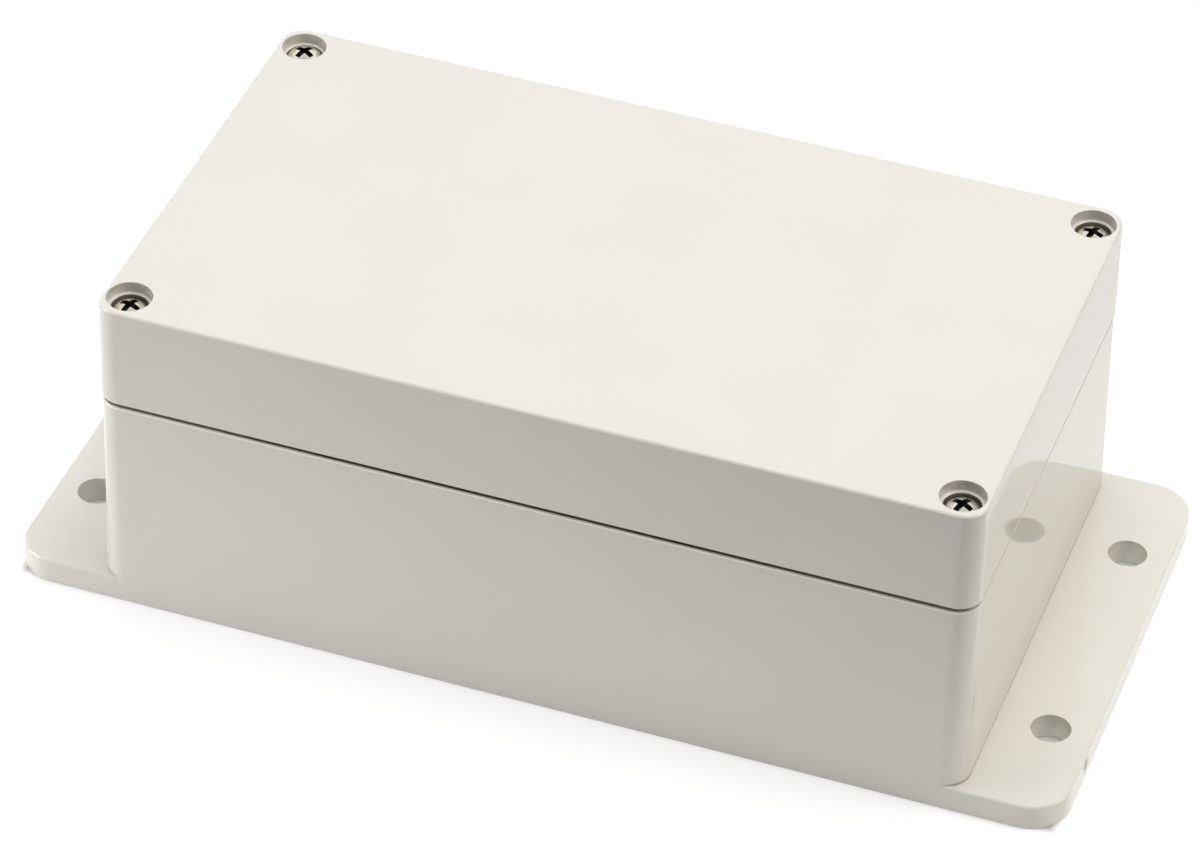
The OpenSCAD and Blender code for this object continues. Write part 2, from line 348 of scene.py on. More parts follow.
def threaded_rod(crest, root, pitch, low, high, steps=24):
    """Rod with a thread cut along it, flat at both ends."""
    turns = math.ceil((high - low) / pitch) + 2
    # one turn's section as shares of the pitch: up the flank, along the crest, down and along the root
    section = ((root, 0), (crest, 0.42), (crest, 0.54), (root, 0.96), (root, 1))
    line = [(radius, low - pitch + share * pitch) for radius, share in section]
    bm = spun(line, steps, turns, rise=pitch / steps)
    for height, side in ((low, -1), (high, 1)):
        bmesh.ops.bisect_plane(bm, geom=bm.verts[:] + bm.edges[:] + bm.faces[:],
                               plane_co=(0, 0, height), plane_no=(0, 0, side), clear_outer=True)
        bmesh.ops.edgenet_fill(bm, edges=[e for e in level_edges(bm, height) if e.is_boundary])
    bmesh.ops.recalc_face_normals(bm, faces=bm.faces)
    return bm


def moved(bm, place, turn=0.0):
    """Turns a shape about the upright axis and puts it in its place."""
    bmesh.ops.rotate(bm, cent=(0, 0, 0), matrix=Matrix.Rotation(turn, 3, "Z"), verts=bm.verts)
    bmesh.ops.translate(bm, vec=place, verts=bm.verts)
    return bm


def joined(shapes):
    """One shape that holds several, which are used up."""
    whole = bmesh.new()
    mesh = bpy.data.meshes.new("working")
    for shape in shapes:
        shape.to_mesh(mesh)
        whole.from_mesh(mesh)
        shape.free()
    bpy.data.meshes.remove(mesh)
    return whole


def placed(name, bm):
    """A new object in the scene that holds a shape, which is used up."""
    mesh = bpy.data.meshes.new(name)
    bm.to_mesh(mesh)
    bm.free()
    made = bpy.data.objects.new(name, mesh)
    bpy.context.scene.collection.objects.link(made)
    return made


def solid(*shapes):
    """A working object that holds one or more shapes."""
    return placed("working", joined(shapes))


def combine(body, tool, operation):
    """Joins, cuts or trims a working solid by another, which is used up."""
    step = body.modifiers.new("combine", "BOOLEAN")
    step.operation, step.solver, step.object = operation, "EXACT", tool
    result = bpy.data.meshes.new_from_object(body.evaluated_get(bpy.context.evaluated_depsgraph_get()))
    body.modifiers.clear()
    spent = [body.data, tool.data]
    body.data = result
    bpy.data.objects.remove(tool)
    for mesh in spent:
        bpy.data.meshes.remove(mesh)


def taken(body):
    """The shape of a working object, which is used up."""
    bm = bmesh.new()
    bm.from_mesh(body.data)
    mesh = body.data
    bpy.data.objects.remove(body)
    bpy.data.meshes.remove(mesh)
    bmesh.ops.remove_doubles(bm, verts=bm.verts, dist=2 * NEAR)
    bmesh.ops.dissolve_degenerate(bm, edges=bm.edges, dist=2 * NEAR)
    return bm


def finish_piece(name, bm, body, node_name, materials):
    """Makes a shape in millimetres a piece in metres that stands for a solid and rides on its body."""
    bmesh.ops.scale(bm, vec=(MM, MM, MM), verts=bm.verts)
    piece = placed(name, bm)
    for material in materials:
        piece.data.materials.append(material)
    piece.data.shade_smooth()
    piece.data.set_sharp_from_angle(angle=SHARP_ANGLE)
    even = piece.modifiers.new("even shading", "WEIGHTED_NORMAL")
    even.keep_sharp = True
    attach(piece, body)
    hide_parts(node_name)


# materials

# span of a pattern's values: the whole, and what holds nearly all of a noise
FULL_SPAN = {"From Min": 0.0, "From Max": 1.0}
NOISE_SPAN = {"From Min": 0.3, "From Max": 0.7}
# a limit in metres that no point of the box reaches
BEYOND = 0.1
# middle of the gate's scar on the outer side of one flange, and one over half its size each way
SCAR_PLACE = (BASE_HIGH.x, -0.0292, 0.0029)
SCAR_SPREAD = (700.0, 640.0, 560.0)


def add_node(tree, kind, inputs=None, **settings):
    """Adds a node and gives its outputs; an input is a value or the socket that feeds it."""
    made = tree.nodes.new("ShaderNode" + kind)
    for key, value in settings.items():
        setattr(made, key, value)
    for key, value in (inputs or {}).items():
        if isinstance(value, bpy.types.NodeSocket):
            tree.links.new(value, made.inputs[key])
        else:
            made.inputs[key].default_value = value
    return made.outputs


def new_material(name):
    """An empty node material, its tree, and the place on the piece that its patterns read."""
    material = bpy.data.materials.new(name)
    material.use_nodes = True
    tree = material.node_tree
    tree.nodes.clear()
    return material, tree, add_node(tree, "TexCoord")["Object"]


def per_metre(millimetres):
    """Texture scale at which one feature is this long."""
    return 1 / (millimetres * MM)


def rgba(value):
    """A colour with its opacity."""
    return (*value, 1.0)


def from_corner(tree, place, corner, clip=False):
    """Distance in plan from the point that each quarter of the box has at a corner's coordinates.

    Where it is clipped, it counts only what lies further out than the corner, along and across."""
    steps = {"ABSOLUTE": {}, "SUBTRACT": {1: corner}, "MAXIMUM": {1: (0, 0, 0)}, "MULTIPLY": {1: (1, 1, 0)}}
    if not clip:
        del steps["MAXIMUM"]
    for operation, other in steps.items():
        place = add_node(tree, "VectorMath", {0: place, **other}, operation=operation)[0]
    return add_node(tree, "VectorMath", {0: place}, operation="LENGTH")["Value"]


def within(tree, value, low, high, soft=0.0001):
    """1 where a value lies between two limits, and 0 outside them."""
    middle, half = (low + high) / 2, (high - low) / 2
    off = add_node(tree, "Math", {0: value, 1: middle}, operation="SUBTRACT")
    away = add_node(tree, "Math", {0: off[0]}, operation="ABSOLUTE")
    return add_node(tree, "MapRange", {
        "Value": away[0], "From Min": half - soft, "From Max": half, "To Min": 1.0, "To Max": 0.0})[0]


def product(tree, first, *others):
    """Masks multiplied with each other."""
    for other in others:
        first = add_node(tree, "Math", {0: first, 1: other}, operation="MULTIPLY")[0]
    return first


def toned(tree, paint, pattern, low, high, span=NOISE_SPAN):
    """A colour that a pattern darkens and lightens, from low to high times its own brightness."""
    tone = add_node(tree, "MapRange", {"Value": pattern, **span, "To Min": low, "To Max": high})
    return add_node(tree, "VectorMath", {0: paint, "Scale": tone[0]}, operation="SCALE")[0]


def add_surface(tree, tint, pattern, gloss, span=NOISE_SPAN, **more):
    """Ends a material with a surface whose roughness follows a pattern between two values."""
    rough = add_node(tree, "MapRange", {"Value": pattern, **span, "To Min": gloss[0], "To Max": gloss[1]})
    shader = add_node(tree, "BsdfPrincipled", {"Base Color": tint, "Roughness": rough[0], **more})
    add_node(tree, "OutputMaterial", {"Surface": shader[0]})


def bore_shade(tree, place, height):
    """Shade painted into the lid's four bores as a brownish grey, most on the wall of the narrow pocket round
    each head.
    """
    box = bpy.context.scene.junction_box_housing
    screw_x, screw_y = screw_reach()
    skin = 0.1 * MM
    ledge = box.top_height - box.counterbore_depth
    # the painted shade ends a little below the heads' seats
    foot = ledge - 2.5 * MM
    facing = add_node(tree, "NewGeometry")["Normal"]
    upward = add_node(tree, "SeparateXYZ", {0: facing})["Z"]
    out = from_corner(tree, place, (screw_x * MM, screw_y * MM, 0))
    steep = add_node(tree, "MapRange", {
        "Value": upward, "From Min": 0.3, "From Max": 0.5, "To Min": 1.0, "To Max": 0.3})
    sunk = add_node(tree, "MapRange", {
        "Value": height, "From Min": ledge - skin, "From Max": ledge + skin, "To Min": 0.78, "To Max": 0.16})
    return product(tree, within(tree, out, -BEYOND, box.counterbore / 2 + skin), steep[0],
                   within(tree, height, foot, BEYOND), sunk[0])


def wall_shade_and_highlight(tree, place, height, along):
    """Painted shade in the open line and at the foot of the end walls, and a painted highlight on the edge
    below the line.
    """
    box = bpy.context.scene.junction_box_housing
    corner_x, corner_y = LID_HIGH.x - box.corner_radius, LID_HIGH.y - box.corner_radius
    reach = from_corner(tree, place, (corner_x, corner_y, 0), clip=True)
    # reach of the base's wall just below the line, and the height of its edge
    wall = box.foot_length / 2 - box.base_draft - corner_x
    seam = LID_LOW.z - box.seam_gap
    # masks along the box: lighter painted shade near the screws, little on the end walls, and some at their
    # foot
    ramps = ((35 * MM, 75 * MM, 0.88, 0.62), (corner_x + 2.4 * MM, corner_x + 2.9 * MM, 1.0, 0.1),
             (corner_x + 0.7 * MM, corner_x + 2.7 * MM, 0.0, 0.5))
    line_strength, end_wall_fade, foot_shade = [add_node(tree, "MapRange", {
        "Value": along, "From Min": near, "From Max": away, "To Min": first, "To Max": last})[0]
        for near, away, first, last in ramps]
    # the painted shade lies deep in the line
    line = product(tree, within(tree, reach, wall - 1.2 * MM, wall - 0.3 * MM), line_strength, end_wall_fade,
                   within(tree, height, seam - 0.15 * MM, LID_LOW.z + 0.15 * MM))
    # the painted shade at the foot lies in the corner where the end walls meet the flanges
    flange = box.flange_thickness
    foot = product(tree, within(tree, reach, wall, wall + 2 * MM), foot_shade,
                   within(tree, height, flange - 0.5 * MM, flange + 0.8 * MM, soft=0.6 * MM),
                   within(tree, height, flange + 0.02 * MM, BEYOND))
    # a painted highlight lies on the edge along the long sides
    edge_highlight = product(tree, within(tree, reach, wall - 0.3 * MM, wall + 1 * MM),
                     within(tree, along, -BEYOND, corner_x + 3.2 * MM, soft=1 * MM),
                     within(tree, height, seam - 0.5 * MM, seam + 0.1 * MM))
    return line, foot, edge_highlight


def gate_scar(tree, place):
    """The spot where the moulding's gate was cut, about 3 mm across."""
    offset = add_node(tree, "VectorMath", {0: place, 1: SCAR_PLACE}, operation="SUBTRACT")
    spread = add_node(tree, "VectorMath", {0: offset[0], 1: SCAR_SPREAD}, operation="MULTIPLY")
    far = add_node(tree, "VectorMath", {0: spread[0]}, operation="LENGTH")
    return add_node(tree, "MapRange", {
        "Value": far["Value"], "From Min": 0.5, "From Max": 1.0, "To Min": 0.95, "To Max": 0.0})[0]


def moulded_abs(finish):
    """ABS from a polished mould: even light grey, glossy, with the faint waviness of shrinkage.

    The eye sees clear but slightly uneven reflections, painted shade in the bores, the open line and the end
    walls' foot, a painted highlight on the base's edge below the line, and a dull scar."""
    material, tree, place = new_material("moulded_abs_gloss_light_grey")
    # flow of the melt: cloudy differences of a few percent, about 30 mm across
    flow = add_node(tree, "TexNoise", {"Vector": place, "Scale": per_metre(30), "Detail": 2.0})
    # pigment: specks of about 0.8 mm, coarser than real so that they show
    speck = add_node(tree, "TexNoise", {"Vector": place, "Scale": per_metre(0.8), "Detail": 1.0})
    cloud = add_node(tree, "Mix", {"Factor": 0.25, 2: flow["Fac"], 3: speck["Fac"]})
    tint = toned(tree, finish.plastic, cloud[0], 0.985, 1.015)
    # painted highlight on the edge, painted shade in bores, line and corners, and the gate's scar, painted
    # over the plastic one after the other
    spot = add_node(tree, "SeparateXYZ", {0: place})
    along = add_node(tree, "Math", {0: spot["X"]}, operation="ABSOLUTE")[0]
    painted_shade = bore_shade(tree, place, spot["Z"])
    line, foot, edge_highlight = wall_shade_and_highlight(tree, place, spot["Z"], along)
    for part in (line, foot):
        painted_shade = add_node(tree, "Math", {0: painted_shade, 1: part}, operation="MAXIMUM")[0]
    scar = gate_scar(tree, place)
    for mask, paint in ((edge_highlight, finish.edge_highlight), (painted_shade, finish.painted_shade), (scar, finish.scar)):
        tint = add_node(tree, "Mix", {"Factor": mask, 6: tint, 7: rgba(paint)}, data_type="RGBA")[2]
    # gloss: the polish differs a little from place to place, and the scar is dull
    gloss = add_node(tree, "MapRange", {"Value": flow["Fac"], **NOISE_SPAN, "To Min": 0.05, "To Max": 0.08})
    dull = add_node(tree, "Math", {0: scar, 1: 0.45, 2: gloss[0]}, operation="MULTIPLY_ADD")
    # shrinkage waves about 14 mm long and a few micrometres high
    wave = add_node(tree, "TexNoise", {"Vector": place, "Scale": per_metre(14), "Detail": 0.0})
    skin = add_node(tree, "Bump", {"Strength": 0.012, "Distance": 0.15 * MM, "Height": wave["Fac"]})
    shader = add_node(tree, "BsdfPrincipled", {
        "Base Color": tint, "Roughness": dull[0], "IOR": 1.54,
        "Coat Weight": 0.3, "Coat Roughness": 0.03, "Normal": skin[0]})
    add_node(tree, "OutputMaterial", {"Surface": shader[0]})
    return material


def nickel_plate(finish):
    """Bright nickel on steel: a warm white metal, polished on the dome and greyer on the rolled shank."""
    material, tree, place = new_material("nickel_plated_steel_bright")
    # plating grain of about 0.25 mm, coarser than real so that it shows
    grain = add_node(tree, "TexNoise", {"Vector": place, "Scale": per_metre(0.25), "Detail": 2.0})["Fac"]
    # the head's side and the shank are duller than the dome
    seat = seat_height() * MM
    polish = add_node(tree, "MapRange", {
        "Value": add_node(tree, "SeparateXYZ", {0: place})["Z"],
        "From Min": seat + 0.6 * MM, "From Max": seat + 1.3 * MM, "To Min": 0.45, "To Max": 1.0})
    bright = toned(tree, finish.nickel, grain, 0.94, 1.05)
    tint = add_node(tree, "VectorMath", {0: bright, "Scale": polish[0]}, operation="SCALE")
    skin = add_node(tree, "Bump", {"Strength": 0.1, "Distance": 0.03 * MM, "Height": grain})
    add_surface(tree, tint[0], grain, (0.36, 0.46), Metallic=1.0, Normal=skin[0])
    return material


def recess_shade(finish):
    """Thin plating deep in the punched cross: dull, and painted dark for the shade there, because little
    light comes back out.
    """
    material, tree, place = new_material("nickel_plated_steel_recess")
    # punch marks of about 0.3 mm
    marks = add_node(tree, "TexNoise", {"Vector": place, "Scale": per_metre(0.3), "Detail": 2.0})["Fac"]
    tint = toned(tree, finish.recess, marks, 0.7, 1.3)
    add_surface(tree, tint, marks, (0.4, 0.6), FULL_SPAN, Metallic=0.6)
    return material


def turned_brass(finish):
    """Free-cutting brass from a lathe: yellow metal with turning rings."""
    material, tree, place = new_material("turned_brass")
    # rings about 1.9 mm apart, much coarser than real so that they show; the wave runs 20 radians in a unit
    apart = 0.6 * math.pi
    rings = add_node(tree, "TexWave", {
        "Vector": place, "Scale": per_metre(apart) * 2 * math.pi / 20, "Distortion": 0.6, "Detail": 1.0},
        bands_direction="Z")["Fac"]
    tint = toned(tree, finish.brass, rings, 0.9, 1.06, FULL_SPAN)
    add_surface(tree, tint, rings, (0.22, 0.34), FULL_SPAN, Metallic=1.0)
    return material


def moulded_rubber(finish):
    """Moulded EPDM rubber: near black, matt, with a fine dusty bloom."""
    material, tree, place = new_material("moulded_epdm_rubber")
    # bloom in patches of about 3 mm
    bloom = add_node(tree, "TexNoise", {"Vector": place, "Scale": per_metre(3), "Detail": 4.0})["Fac"]
    tint = toned(tree, finish.rubber, bloom, 0.8, 1.35)
    add_surface(tree, tint, bloom, (0.55, 0.8), FULL_SPAN, IOR=1.5)
    return material


MATERIALS = {}


def shared(maker):
    """The material that a maker gives, made once."""
    if maker.__name__ not in MATERIALS:
        MATERIALS[maker.__name__] = maker(bpy.context.scene.junction_box_finish)
    return MATERIALS[maker.__name__]


# pieces

class JUNCTION_BOX_OT_base(bpy.types.Operator):
    """Build the base with its flanges, posts, tongue and board bosses"""
    bl_idname = "junction_box.base"
    bl_label = "Base"

    @staticmethod
    def walls(box, seam, rim_corner):
        """The walls, which start in the flange and stand a hair proud, so that no two faces share a plane."""
        # drafted down to just below the flange's top, and straight from there to a sole inside the plate
        start, sole = box.flange_thickness - 10 * HAIR, 0.6
        bm = moulded_block(box.foot_length + 2 * HAIR, box.foot_width + 2 * HAIR, start, seam,
                           rim_corner + box.base_draft + HAIR, draft=box.base_draft + HAIR,
                           top_edge=box.seam_edge)
        foot = [face for face in bm.faces if face.calc_center_median().z < start + NEAR]
        lowered = bmesh.ops.extrude_face_region(bm, geom=foot)
        bmesh.ops.translate(bm, vec=(0, 0, sole - start), verts=verts_of(lowered["geom"]))
        bmesh.ops.recalc_face_normals(bm, faces=bm.faces)
        return bm

    @staticmethod
    def boss_profile(box, top):
        """Profile of a board boss: rooted in the floor, with a fillet at its foot and a rounded top edge."""
        radius, floor, root = box.boss_diameter / 2, box.floor_thickness, 1.0
        fillet, edge = 0.6, 0.3
        return [(0, root), (radius + fillet, root), (radius + fillet, floor),
                (radius + ARC_MIDDLE * fillet, floor + ARC_MIDDLE * fillet), (radius, floor + fillet),
                (radius, top - edge), (radius - ARC_MIDDLE * edge, top - ARC_MIDDLE * edge),
                (radius - edge, top), (0, top)]

    def execute(self, context):
        scene = context.scene
        box, seal = in_mm(scene.junction_box_housing), in_mm(scene.junction_box_seal)
        fix, steps = in_mm(scene.junction_box_fixings), scene.junction_box_finish.round_steps
        foot_edge, rim_edge, tongue_edge, pilot_edge, post_edge = 0.3, 0.12, 0.2, 0.2, 0.15
        seam = box.rim_height - box.seam_gap
        rim_x, rim_y = box.foot_length - 2 * box.base_draft, box.foot_width - 2 * box.base_draft
        rim_corner = box.corner_radius - (box.lid_length - rim_x) / 2

        # plate with both flanges, walls, the set-back rim in the seam, and the room inside
        body = solid(moulded_block(box.overall_length, box.foot_width, 0, box.flange_thickness,
                                   box.flange_corner, top_edge=box.flange_edge, low_edge=foot_edge))
        combine(body, solid(self.walls(box, seam, rim_corner)), "UNION")
        rim = moulded_block(rim_x - 2 * box.seam_depth, rim_y - 2 * box.seam_depth, seam / 2, box.rim_height,
                            rim_corner - box.seam_depth, top_edge=rim_edge)
        combine(body, solid(rim), "UNION")
        room = seal_prism([seal.wall_inset], box.floor_thickness, box.top_height, seal)
        bevel(room, level_edges(room, box.floor_thickness), box.cavity_fillet, segments=3)
        combine(body, solid(room), "DIFFERENCE")

        # tongue and board bosses
        tongue_top, boss_top = box.rim_height + seal.tongue_height, box.floor_thickness + box.boss_height
        tongue = seal_prism([0, seal.tongue], seam, tongue_top, seal)
        bevel(tongue, level_edges(tongue, tongue_top), tongue_edge, segments=2)
        boss, boss_places = self.boss_profile(box, boss_top), four(box.boss_pitch_x / 2, box.boss_pitch_y / 2)
        combine(body, solid(tongue, *(moved(turned(boss, steps), place) for place in boss_places)), "UNION")

        # fixing holes, pilot holes in the bosses, and the posts' holes for insert and screw
        hole_r, pilot_r, well_r = box.hole_diameter / 2, box.pilot_diameter / 2, box.shank_hole / 2
        hole = [(0, -PAST), (hole_r + box.hole_edge, -PAST), *reversed(rim_arc(hole_r, 0, box.hole_edge, -1)),
                *open_end(hole_r, box.flange_thickness, box.hole_edge)]
        pilot_low = boss_top - box.pilot_depth
        pilot = [(0, pilot_low), (pilot_r, pilot_low), *open_end(pilot_r, boss_top, pilot_edge)]
        insert_low, post_r = INSERT_LOW.z / MM, fix.insert_diameter / 2 + fix.insert_room
        well_low = insert_low - fix.well_depth
        post = [(0, well_low), (well_r, well_low), (well_r, insert_low), (post_r, insert_low),
                *open_end(post_r, box.rim_height, post_edge)]
        cuts = ((hole, steps, four(box.hole_pitch_x / 2, box.hole_pitch_y / 2)),
                (pilot, steps // 2, boss_places), (post, steps // 2, four(*screw_reach())))
        combine(body, solid(*(moved(turned(profile, sides), place)
                              for profile, sides, places in cuts for place in places)), "DIFFERENCE")

        finish_piece("base_moulding", taken(body), "base", "base", [shared(moulded_abs)])
        return {"FINISHED"}


class JUNCTION_BOX_OT_lid(bpy.types.Operator):
    """Build the lid with its stepped counterbores, seal groove and screw columns"""
    bl_idname = "junction_box.lid"
    bl_label = "Lid"

    def execute(self, context):
        scene = context.scene
        box, seal = in_mm(scene.junction_box_housing), in_mm(scene.junction_box_seal)
        steps = scene.junction_box_finish.round_steps
        low_edge, ledge_edge = 0.15, 0.12
        below, ceiling = box.rim_height - PAST, box.top_height - box.top_thickness

        body = solid(moulded_block(box.lid_length, box.lid_width, box.rim_height, box.top_height,
                                   box.corner_radius, draft=box.lid_draft, top_edge=box.lid_edge,
                                   low_edge=low_edge))
        room = seal_prism([seal.wall_inset], below, ceiling, seal)
        bevel(room, level_edges(room, ceiling), box.cavity_fillet, segments=3)
        combine(body, solid(room), "DIFFERENCE")
        groove_top = box.rim_height + seal.tongue_height + seal.seal_thickness
        groove = seal_prism([-seal.groove_room, seal.tongue + seal.groove_room], below, groove_top, seal)
        combine(body, solid(groove), "DIFFERENCE")

        # stepped bores: shank, seat of the head with a hair of room, pocket, ledge and counterbore
        bore_r, pocket_r, shank_r = box.counterbore / 2, box.pocket / 2, box.shank_hole / 2
        seat, ledge = seat_height() - HAIR, box.top_height - box.counterbore_depth
        bore = [(0, below), (shank_r, below), (shank_r, seat), (pocket_r, seat),
                (pocket_r, ledge - ledge_edge), (pocket_r + ledge_edge, ledge), (bore_r, ledge),
                *open_end(bore_r, box.top_height, box.bore_edge)]
        combine(body, solid(*(moved(turned(bore, steps), place) for place in four(*screw_reach()))),
                "DIFFERENCE")

        finish_piece("lid_moulding", taken(body), "lid", "lid", [shared(moulded_abs)])
        return {"FINISHED"}


class JUNCTION_BOX_OT_seal(bpy.types.Operator):
    """Build the rubber ring in the lid's groove"""
    bl_idname = "junction_box.seal"
    bl_label = "Seal"

    def execute(self, context):
        seal = in_mm(context.scene.junction_box_seal)
        low, high = SEAL_LOW.z / MM, SEAL_HIGH.z / MM
        spare = seal.groove_room - seal.seal_room
        ring = seal_prism([-spare, seal.tongue + spare], low, high, seal)
        for height in (low, high):
            bevel(ring, level_edges(ring, height), seal.seal_round, segments=3)
        finish_piece("seal_ring", ring, "lid", "lid_seal", [shared(moulded_rubber)])
        return {"FINISHED"}


class JUNCTION_BOX_OT_inserts(bpy.types.Operator):
    """Build the four knurled and threaded brass inserts"""
    bl_idname = "junction_box.inserts"
    bl_label = "Inserts"

    def execute(self, context):
        fix = in_mm(context.scene.junction_box_fixings)
        low, high = INSERT_LOW.z / MM, INSERT_HIGH.z / MM
        outer, bore, groove = fix.insert_diameter / 2, fix.insert_bore / 2, fix.insert_groove / 2
        edge, groove_depth, thread_depth = 0.25, 0.25, 0.2
        middle, waist = (low + high) / 2, outer - groove_depth
        profile = [(0, low), (outer - edge, low), (outer, low + edge), (outer, middle - groove),
                   (waist, middle - groove), (waist, middle + groove), (outer, middle + groove),
                   (outer, high - edge), (outer - edge, high), (0, high)]
        # knurl: every second edge of the turned shell is drawn in
        sides, drawn = 40, 0.95
        shell = turned(profile, sides)
        valleys = [v for v in shell.verts if v.co.xy.length > outer - NEAR
                   and round(math.atan2(v.co.y, v.co.x) / (2 * math.pi / sides)) % 2]
        bmesh.ops.scale(shell, vec=(drawn, drawn, 1), verts=valleys)
        body = solid(shell)
        tap = threaded_rod(bore + thread_depth, bore, fix.thread_pitch, low - PAST, high + PAST)
        combine(body, solid(tap), "DIFFERENCE")
        insert = taken(body)
        inserts = joined([moved(insert.copy(), place) for place in four(*screw_reach())])
        insert.free()
        finish_piece("brass_inserts", inserts, "base", "threaded_inserts",
                     [shared(turned_brass)])
        return {"FINISHED"}


def pan_screw(fix, steps):
    """Pan head screw with a cross recess and a thread, its seat at the origin."""
    reach = seat_height() - SCREW_LOW.z / MM
    head_r, head_h = fix.head_diameter / 2, fix.head_height
    # head: dome, rounded lip, side and rounded lower edge
    centre, lip, low_edge, dome_steps = head_h - fix.dome_radius, 0.12, 0.2, 12
    bend = math.asin((head_r - lip) / fix.dome_radius)
    turns = [bend * i / dome_steps for i in range(dome_steps + 1)]
    dome = [(fix.dome_radius * math.sin(t), centre + fix.dome_radius * math.cos(t)) for t in turns]
    side = dome[-1][1]
    # points of the lip: inset from the head's side, and drop below the dome's end
    lip_points = ((0.03, 0.09), (0, 0.22))
    head = [*dome, *((head_r - inset, side - drop) for inset, drop in lip_points), (head_r, low_edge),
            (head_r - ARC_MIDDLE * low_edge, ARC_MIDDLE * low_edge), (head_r - low_edge, 0), (0, 0)]
    body = solid(turned(head, steps))
    # shank: a threaded rod that runs into the head, trimmed to a blunt point
    crest, sunk, point_sides = fix.shank / 2, 0.3, 24
    over, inset, taper, room = 0.5, 0.3, 0.8, 0.1
    rod = solid(threaded_rod(crest, crest - fix.thread_depth, fix.thread_pitch, -reach, sunk))
    point = [(0, -reach - over), (crest - 2 * inset, -reach - over), (crest - inset, -reach),
             (crest + room, -reach + taper), (crest + room, over), (0, over)]
    combine(rod, solid(turned(point, point_sides)), "INTERSECT")
    combine(body, rod, "UNION")
    # each wing of the cross narrows down to the recess's foot, and has its full reach where it meets the dome
    foot_z, wing_h = head_h - fix.recess_depth, fix.recess_depth + PAST
    meet_z = centre + math.sqrt(fix.dome_radius ** 2 - (fix.recess_reach / 2) ** 2)
    widen = wing_h / (meet_z - foot_z)
    foot_x, foot_y = 1.1 * fix.recess_width, 0.7 * fix.recess_width
    for turn in (0, math.pi / 2):
        wing = block(foot_x, foot_y, foot_z, foot_z + wing_h)
        mouth = [v for v in wing.verts if v.co.z > head_h]
        bmesh.ops.scale(wing, vec=(1 + (fix.recess_reach / foot_x - 1) * widen,
                                   1 + (fix.recess_width / foot_y - 1) * widen, 1), verts=mouth)
        combine(body, solid(moved(wing, (0, 0, 0), turn)), "DIFFERENCE")
    # the recess's walls, which lie under the dome and above the recess's foot, take the dull plating that is
    # painted dark for the shade in the cross
    under, above, beyond = 0.03, 0.02, 0.2
    bm = taken(body)
    for face in bm.faces:
        middle = face.calc_center_median()
        in_dome = (middle - Vector((0, 0, centre))).length < fix.dome_radius - under
        if in_dome and middle.z > foot_z + above and middle.xy.length < fix.recess_reach / 2 + beyond:
            face.material_index = 1
    return bm


class JUNCTION_BOX_OT_screws(bpy.types.Operator):
    """Build the four pan head screws, each with its own turn"""
    bl_idname = "junction_box.screws"
    bl_label = "Screws"

    def execute(self, context):
        fixings = context.scene.junction_box_fixings
        fix = in_mm(fixings)
        pattern = pan_screw(fix, context.scene.junction_box_finish.round_steps)
        for name in SCREWS:
            at = screw_axis(name)
            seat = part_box(name)[1].z / MM - fix.head_height
            turn = getattr(fixings, name.replace("screw", "turn"))
            finish_piece(f"pan_{name}", moved(pattern.copy(), (at.x, at.y, seat), turn), name, name,
                         [shared(nickel_plate), shared(recess_shade)])
        pattern.free()
        return {"FINISHED"}


# stage

# the view that was fitted to the photograph: lengths in metres, focal length and width in its pixels
CAMERA = SimpleNamespace(
    target=Vector((0, 0, 0.030)), azimuth=math.radians(18.792), elevation=math.radians(39.132),
    roll=math.radians(1.379), distance=0.959187, right=0.002300, up=0.002415, focal=5451.3, width=1200.0)

# name: place, aim, side of the square, power in watts, colour
LAMPS = {
    "back_softbox": ((-0.10, 0.25, 1.10), (0, 0, 0.05), 0.9, 7.7, "#ffffff"),
    "top_lamp": ((0.30, 0.0, 1.15), (0, 0, 0.03), 0.45, 3.9, "#ffffff"),
    "front_lamp": ((0.05, -0.30, 1.15), (0, 0, 0.03), 0.45, 1.9, "#ffffff"),
    "left_softbox": ((-0.42, -0.20, 0.12), (0, 0, 0.03), 0.2, 1.05, "#ffffff"),
    "right_softbox": ((1.05, 0.10, 0.65), (0, 0, 0.03), 0.6, 4.8, "#fff6ea"),
}
# lamps above this height don't show in glossy surfaces
MIRRORED_BELOW = 1.0
# strength of the light from all round
AMBIENT = 0.01
WHITE = (1.0, 1.0, 1.0, 1.0)


